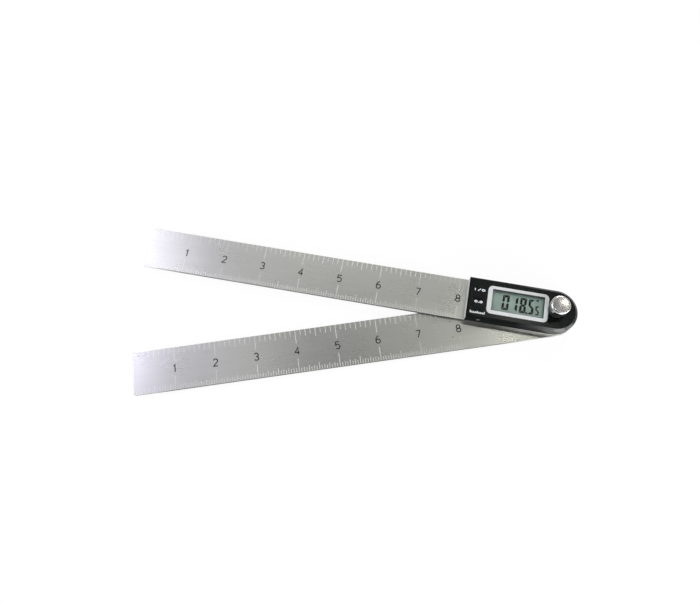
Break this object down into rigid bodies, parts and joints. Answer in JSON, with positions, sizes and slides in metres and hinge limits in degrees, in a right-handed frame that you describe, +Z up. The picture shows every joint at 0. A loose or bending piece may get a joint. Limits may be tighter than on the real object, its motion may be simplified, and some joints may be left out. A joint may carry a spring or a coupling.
{
  "type": "digital angle finder rule",
  "caption": "Folding digital angle finder: stacked steel rule arms on one pivot, with a display housing, push buttons, a coin cell cover and a lock knob.",
  "frame": {"origin": "on the pivot's axis, at the underside of the lower arm", "axes": "+Z up through the lock knob; -X along the lower arm towards its tip; +Y is the side that the upper arm opens towards"},
  "size_m": [0.2763, 0.1099, 0.0223],
  "materials": {
    "arm_steel": "bright stainless steel, brushed along the arm, engraved inch scales",
    "turned_steel": "turned steel",
    "screw_steel": "zinc-plated steel",
    "dark_fibre": "dark fibre sheet",
    "board_green": "solder-masked glass fibre board",
    "bush_bronze": "oiled bronze",
    "tray_black": "moulded plastic",
    "housing_black": "moulded plastic, satin to gloss",
    "bezel_grey": "light grey satin plastic",
    "window_clear": "clear polished acrylic",
    "display_grey": "grey-green liquid crystal glass",
    "strip_rubber": "conductive rubber strip",
    "stator_copper": "etched copper",
    "chip_black": "moulded resin",
    "can_metal": "plated metal",
    "capacitor_tan": "fired ceramic",
    "cell_steel": "nickel-plated steel",
    "contact_brass": "spring brass",
    "cover_black": "moulded plastic, fine spark texture",
    "button_black": "soft black rubber",
    "knob_chrome": "polished chrome plate",
    "knob_black": "moulded plastic, satin",
    "insert_brass": "turned brass"
  },
  "bodies": {
    "lower_arm_unit": {"lower_arm": "arm_steel", "pivot_spindle": "turned_steel", "pivot_screws": "screw_steel", "slip_washer": "dark_fibre", "encoder_rotor": "board_green", "pressure_washer": "turned_steel"},
    "upper_arm_unit": {"upper_arm": "arm_steel", "pivot_bush": "bush_bronze", "housing_tray": "tray_black", "housing_cover": "housing_black", "cover_screws": "screw_steel", "side_screws": "screw_steel", "display_bezel": "bezel_grey", "display_window": "window_clear", "display_glass": "display_grey", "contact_strips": "strip_rubber", "circuit_board": "board_green", "encoder_stator": "stator_copper", "controller_chip": "chip_black", "clock_crystal": "can_metal", "chip_capacitors": "capacitor_tan", "switch_domes": "can_metal", "board_screws": "screw_steel", "coin_cell": "cell_steel", "cell_contact_top": "contact_brass", "cell_contact_side": "contact_brass"},
    "cell_door": {"battery_cover": "cover_black"},
    "power_key": {"power_button": "button_black"},
    "zero_key": {"zero_button": "button_black"},
    "clamp_knob": {"knob_grip": "knob_black", "knob_cap": "knob_chrome", "knob_insert": "insert_brass"}
  },
  "joints": [
    {"name": "arm_turn", "type": "hinge", "parent": "lower_arm_unit", "child": "upper_arm_unit", "pos_m": [0, 0, 0], "axis": [0, 0, -1], "continuous": true},
    {"name": "knob_turn", "type": "hinge", "parent": "lower_arm_unit", "child": "clamp_knob", "pos_m": [0, 0, 0.012], "axis": [0, 0, 1], "range_deg": [0, 180]},
    {"name": "power_press", "type": "slide", "parent": "upper_arm_unit", "child": "power_key", "axis": [0, 0, -1], "range_m": [0, 0.0003], "stiffness_N_per_m": 4000, "springref_m": -0.0001},
    {"name": "zero_press", "type": "slide", "parent": "upper_arm_unit", "child": "zero_key", "axis": [0, 0, -1], "range_m": [0, 0.0003], "stiffness_N_per_m": 4000, "springref_m": -0.0001},
    {"name": "cell_door_turn", "type": "hinge", "parent": "upper_arm_unit", "child": "cell_door", "pos_m": [-0.02939, 0.00986, 0.0026], "axis": [0, 0, -1], "range_deg": [0, 35]}
  ]
}
